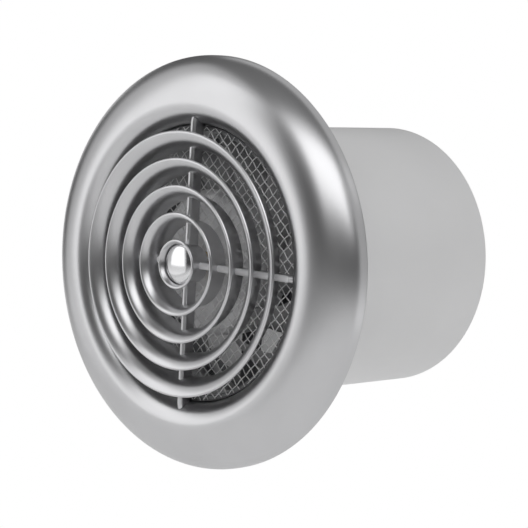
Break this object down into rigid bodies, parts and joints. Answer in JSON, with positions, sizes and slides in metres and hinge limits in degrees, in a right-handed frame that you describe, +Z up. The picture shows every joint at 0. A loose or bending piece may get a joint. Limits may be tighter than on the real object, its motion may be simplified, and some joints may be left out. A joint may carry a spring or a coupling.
{
  "type": "exhaust fan",
  "caption": "Round exhaust fan with a domed bezel, concentric ring grille, insect mesh, wall flange and a straight air duct that holds the motor and its bladed impeller.",
  "frame": {"origin": "on the fan axis, in the wall plane where the flange's back and the bezel's rim rest", "axes": "+Y along the fan axis into the wall, from the grille towards the duct's end; -Y out of the front; +X to the right and +Z up in the front view"},
  "size_m": [0.18, 0.1395, 0.18],
  "materials": {
    "satin_chrome": "satin",
    "bright_chrome": "polished",
    "mesh_wire": "drawn wire, dull",
    "grey_plastic": "moulded, fine grain",
    "duct_silver": "smooth, silver grey",
    "impeller_grey": "moulded, silver grey",
    "motor_steel": "zinc plated",
    "bearing_steel": "ground",
    "screw_steel": "zinc plated",
    "lamination": "stacked sheet, varnished",
    "copper_winding": "enamelled wire",
    "black_rubber": "matt",
    "terminal_plastic": "moulded",
    "brass": "bright",
    "lead_brown": "smooth insulation",
    "lead_blue": "smooth insulation"
  },
  "bodies": {
    "housing": {"front_bezel": "satin_chrome", "ring_grille": "satin_chrome", "hub_badge": "bright_chrome", "insect_mesh": "mesh_wire", "mesh_frame": "grey_plastic", "wall_flange": "grey_plastic", "duct_spigot": "duct_silver", "spigot_screw_1": "screw_steel", "spigot_screw_2": "screw_steel", "spigot_screw_3": "screw_steel", "spigot_screw_4": "screw_steel", "motor_bracket": "grey_plastic", "bracket_screw_1": "screw_steel", "bracket_screw_2": "screw_steel", "bracket_screw_3": "screw_steel", "bracket_screw_4": "screw_steel", "motor_screw_1": "screw_steel", "motor_screw_2": "screw_steel", "motor_screw_3": "screw_steel", "motor_screw_4": "screw_steel", "motor_end_shield": "motor_steel", "motor_can": "motor_steel", "lead_grommet": "black_rubber", "bearing_front": "bearing_steel", "bearing_rear": "bearing_steel", "stator_core": "lamination", "stator_coil_1": "copper_winding", "stator_coil_2": "copper_winding", "stator_coil_3": "copper_winding", "stator_coil_4": "copper_winding", "terminal_block": "terminal_plastic", "terminal_screw_1": "brass", "terminal_screw_2": "brass", "terminal_fixing_screw": "screw_steel", "motor_lead_brown": "lead_brown", "motor_lead_blue": "lead_blue"},
    "rotor": {"impeller": "impeller_grey", "impeller_nut": "brass", "motor_shaft": "bearing_steel", "rotor_core": "lamination"}
  },
  "joints": [
    {"name": "impeller_spin", "type": "hinge", "parent": "housing", "child": "rotor", "pos_m": [0, 0, 0], "axis": [0, 1, 0], "continuous": true}
  ]
}
